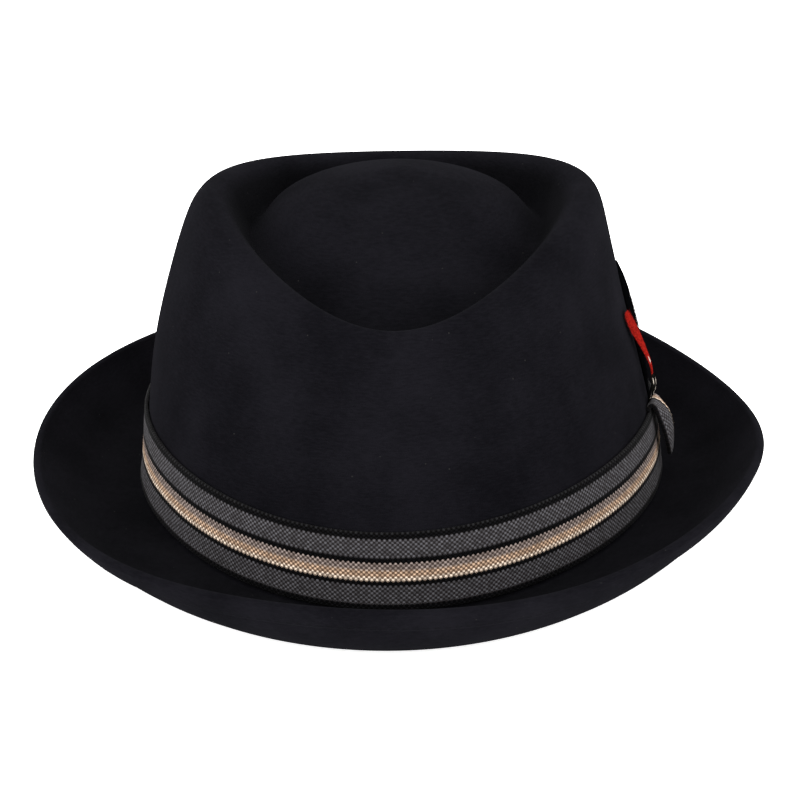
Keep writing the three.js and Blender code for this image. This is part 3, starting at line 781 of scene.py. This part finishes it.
# %% Feather pieces
RED_ROWS = np.array([  # at, along, off, wide, twist
    (0, -0.06, 0.6, 0.12, 0), (0.06, -0.06, 0.65, 0.12, 0), (0.13, -0.05, 1.4, 0.14, 2),
    (0.24, -0.06, 2.4, 0.2, 6), (0.38, -0.1, 2.8, 0.32, 10), (0.56, -0.17, 2.3, 0.52, 12),
    (0.78, -0.27, 1.4, 1, 8), (0.93, -0.36, 1.0, 0.75, 6), (1, -0.4, 0.9, 0.2, 6),
])
BLACK_ROWS = np.array([
    (0, 0.09, 0.4, 0.1, 0), (0.15, 0.11, 0.35, 0.3, 0), (0.35, 0.17, 0.32, 0.75, 0),
    (0.6, 0.23, 0.32, 1, 0), (0.82, 0.28, 0.3, 0.85, 0), (0.95, 0.32, 0.05, 0.45, 0),
    (1, 0.34, -0.25, 0.12, 0),
])
SPECKLED_ROWS = np.array([
    (0, -0.2, 0.6, 0.15, 0), (0.15, -0.2, 0.65, 0.2, 0), (0.35, -0.24, 2, 0.5, 6),
    (0.6, -0.3, 3, 1, 10), (0.85, -0.34, 3.5, 0.7, 10), (1, -0.36, 3.6, 0.2, 10),
])
SPECKLES = [  # beside the shaft, up it, wide, tall
    (-1.3, 9.6, 0.6, 2.4), (1.1, 8.8, 0.6, 2.8), (0.7, 6.2, 0.6, 1.8), (-0.6, 5.2, 0.6, 1.6),
    (0.2, 3.4, 0.8, 1.2),
]
# A pale oval on the red quill: partly the quill's own paleness, partly a painted highlight.
PAINTED_QUILL_GLINT = [(0, 14.5, 0.7, 2.6)]
red_barbs = feather_finish("red_barbs", (0.11, 0.004, 0.003), (0.27, 0.012, 0.008), PAINTED_QUILL_GLINT, 7.5)
black_barbs = feather_finish("black_barbs", (0.0006, 0.0006, 0.0008), (0.0022, 0.0022, 0.0027))
speckled_barbs = feather_finish("speckled_barbs", (0.0015, 0.0015, 0.0015), (0.006, 0.006, 0.005),
                                SPECKLES)
feather_jobs = [  # name, replaces, slot, rows, length, width, puff, sink, barbs, finish, seed
    ("red_plume", "feather_red", "red_feather", RED_ROWS, 34.0, 8.5, 0.8, 0.08, 110, red_barbs, 3),
    ("black_plume", "feather_black", "black_feather", BLACK_ROWS, 46.0, 13.0, 3.6, 0.7, 170,
     black_barbs, 5),
    ("speckled_plume", "feather_speckled", "speckled_feather", SPECKLED_ROWS, 12.0, 6.0, 0.8, 0.08,
     60, speckled_barbs, 8),
]
for name, node, slot, row_table, length, width, puff, sink, barbs, material, seed in feather_jobs:
    plume = feather(name, row_table, length, width, puff, sink, barbs, material, seed)
    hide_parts(node)
    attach(plume, "root")

# %% [markdown]
# ## The studio
#
# Black felt needs broad, soft light, or its folds vanish. A bright, even room lights it from all
# round, so that only hollows such as the groove and the brim's channel fall dark. A soft panel in
# front, to the left, and a weaker one at the right lift the faces towards the camera. The floor is
# plain and pale and isn't part of the hat. It glows a little, so that the hat's shadow on it fades.

# %% Studio
ROOM_LIGHT, FLOOR_GLOW, FLOOR_REACH = 2.0, 0.8, 7000.0
AIM_HEIGHT = 0.06
PANELS = [  # name, place in metres, size in metres, watts
    ("front_panel", (-0.75, -1.2, 0.6), 0.9, 7.0), ("side_panel", (1.1, -0.9, 0.5), 0.7, 4.0),
]


def studio():
    scene = bpy.context.scene
    scene.view_settings.view_transform = "Standard"
    room = bpy.data.worlds.new("pale_room")
    room.use_nodes = True
    room.node_tree.nodes["Background"].inputs["Color"].default_value = (1, 1, 1, 1)
    room.node_tree.nodes["Background"].inputs["Strength"].default_value = ROOM_LIGHT
    scene.world = room
    for name, place, size, power in PANELS:
        lamp = bpy.data.lights.new(name, "AREA")
        lamp.size = size
        lamp.energy = power
        panel = bpy.data.objects.new(name, lamp)
        panel.location = place
        towards = Vector((0, 0, AIM_HEIGHT)) - Vector(place)
        panel.rotation_euler = towards.to_track_quat("-Z", "Y").to_euler()
        scene.collection.objects.link(panel)
    corners = FLOOR_REACH * np.array([(-1, -1, 0), (1, -1, 0), (1, 1, 0), (-1, 1, 0)])
    material, _, shader = new_finish("pale_floor", roughness=0.9)
    shader.inputs["Base Color"].default_value = (0.9, 0.9, 0.9, 1)
    shader.inputs["Emission Color"].default_value = (1, 1, 1, 1)
    shader.inputs["Emission Strength"].default_value = FLOOR_GLOW
    floor = make_piece("studio_floor", corners, [(0, 1, 2, 3)], material=material)


studio()
